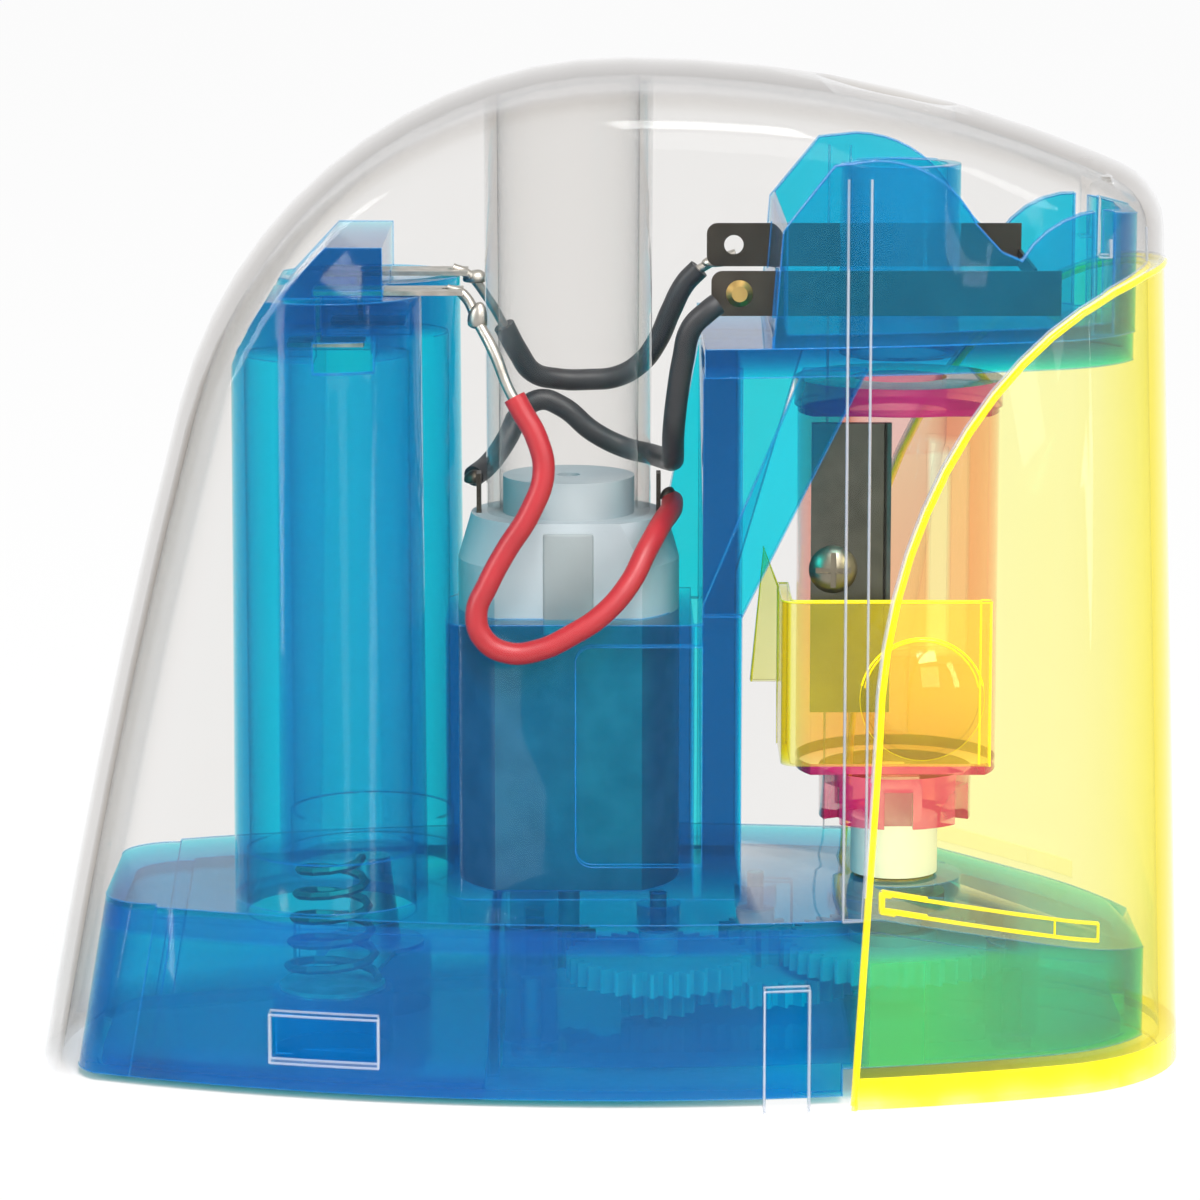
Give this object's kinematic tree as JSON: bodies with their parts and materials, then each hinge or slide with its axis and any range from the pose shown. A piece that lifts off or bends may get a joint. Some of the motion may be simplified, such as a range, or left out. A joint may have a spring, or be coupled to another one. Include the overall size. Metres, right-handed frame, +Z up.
{
  "type": "battery pencil sharpener",
  "caption": "Battery pencil sharpener with a clear domed casing over a blue chassis, a turning cutter with a screwed blade, a motor and gear train, and a pull-off shavings cover.",
  "frame": {"origin": "centre of the footprint on the table", "axes": "+Z up, +X from the battery end to the cutter end, -Y towards the viewer"},
  "size_m": [0.1053, 0.0458, 0.0919],
  "materials": {
    "clear_casing": "clear",
    "shavings_cover": "clear tint",
    "chassis": "clear tint",
    "guide_block": "clear tint",
    "gearbox_floor": "clear tint",
    "floor_screws": "plated",
    "battery_door": "clear tint",
    "contact_bridge": "plated",
    "contact_spring": "plated",
    "front_battery_tab": "plated",
    "back_battery_tab": "plated",
    "motor_can": "plated",
    "motor_end_cap": "moulded",
    "motor_terminals": "tinned",
    "motor_magnets": "ferrite",
    "motor_brushes": "plain",
    "motor_armature": "wound",
    "motor_shaft": "ground",
    "motor_pinion": "cut",
    "first_gear": "moulded",
    "first_axle": "ground",
    "second_gear": "moulded",
    "second_axle": "ground",
    "spindle_gear": "moulded",
    "spindle": "moulded",
    "spindle_bush": "sintered",
    "cutter_body": "clear tint",
    "blade": "ground",
    "blade_screw": "plated",
    "clip_band": "clear tint",
    "front_switch_leaf": "spring metal",
    "back_switch_leaf": "spring metal",
    "leaf_rivet": "plain",
    "red_wire": "sleeve",
    "battery_wire": "sleeve",
    "switch_wire": "sleeve"
  },
  "bodies": {
    "frame": {"clear_casing": "clear_casing", "chassis": "chassis", "guide_block": "guide_block", "gearbox_floor": "gearbox_floor", "floor_screws": "floor_screws", "motor_can": "motor_can", "motor_end_cap": "motor_end_cap", "motor_terminals": "motor_terminals", "motor_magnets": "motor_magnets", "motor_brushes": "motor_brushes", "spindle_bush": "spindle_bush", "first_axle": "first_axle", "second_axle": "second_axle", "front_battery_tab": "front_battery_tab", "back_battery_tab": "back_battery_tab", "back_switch_leaf": "back_switch_leaf", "red_wire": "red_wire", "battery_wire": "battery_wire", "switch_wire": "switch_wire"},
    "cover": {"shavings_cover": "shavings_cover"},
    "door": {"battery_door": "battery_door", "contact_bridge": "contact_bridge", "contact_spring": "contact_spring"},
    "leaf": {"front_switch_leaf": "front_switch_leaf", "leaf_rivet": "leaf_rivet"},
    "cutter": {"cutter_body": "cutter_body", "blade": "blade", "blade_screw": "blade_screw", "clip_band": "clip_band", "spindle": "spindle", "spindle_gear": "spindle_gear"},
    "second_wheel": {"second_gear": "second_gear"},
    "first_wheel": {"first_gear": "first_gear"},
    "rotor": {"motor_shaft": "motor_shaft", "motor_armature": "motor_armature", "motor_pinion": "motor_pinion"}
  },
  "joints": [
    {"name": "cover_slide", "type": "slide", "parent": "frame", "child": "cover", "axis": [1, 0, 0], "range_m": [0, 0.05]},
    {"name": "door_slide", "type": "slide", "parent": "frame", "child": "door", "axis": [0, 0, -1], "range_m": [0, 0.06]},
    {"name": "leaf_bend", "type": "hinge", "parent": "frame", "child": "leaf", "pos_m": [0.0145, -0.00935, 0.0717], "axis": [0, 0, 1], "range_deg": [0, 4.4], "stiffness_Nm_per_rad": 0.05},
    {"name": "cutter_spin", "type": "hinge", "parent": "frame", "child": "cutter", "pos_m": [0.0262, 0, 0.02], "axis": [0, 0, 1], "continuous": true},
    {"name": "second_wheel_spin", "type": "hinge", "parent": "frame", "child": "second_wheel", "pos_m": [0.0135, 0.00277, 0.008], "axis": [0, 0, 1], "continuous": true},
    {"name": "first_wheel_spin", "type": "hinge", "parent": "frame", "child": "first_wheel", "pos_m": [0.00434, -0.00574, 0.008], "axis": [0, 0, 1], "continuous": true},
    {"name": "motor_spin", "type": "hinge", "parent": "frame", "child": "rotor", "pos_m": [-0.00385, 0, 0.03], "axis": [0, 0, 1], "continuous": true}
  ],
  "couplings": [
    {"joint": "second_wheel_spin", "follows": "cutter_spin", "ratio": -3.3333},
    {"joint": "first_wheel_spin", "follows": "cutter_spin", "ratio": 10.556},
    {"joint": "motor_spin", "follows": "cutter_spin", "ratio": -42.222}
  ]
}
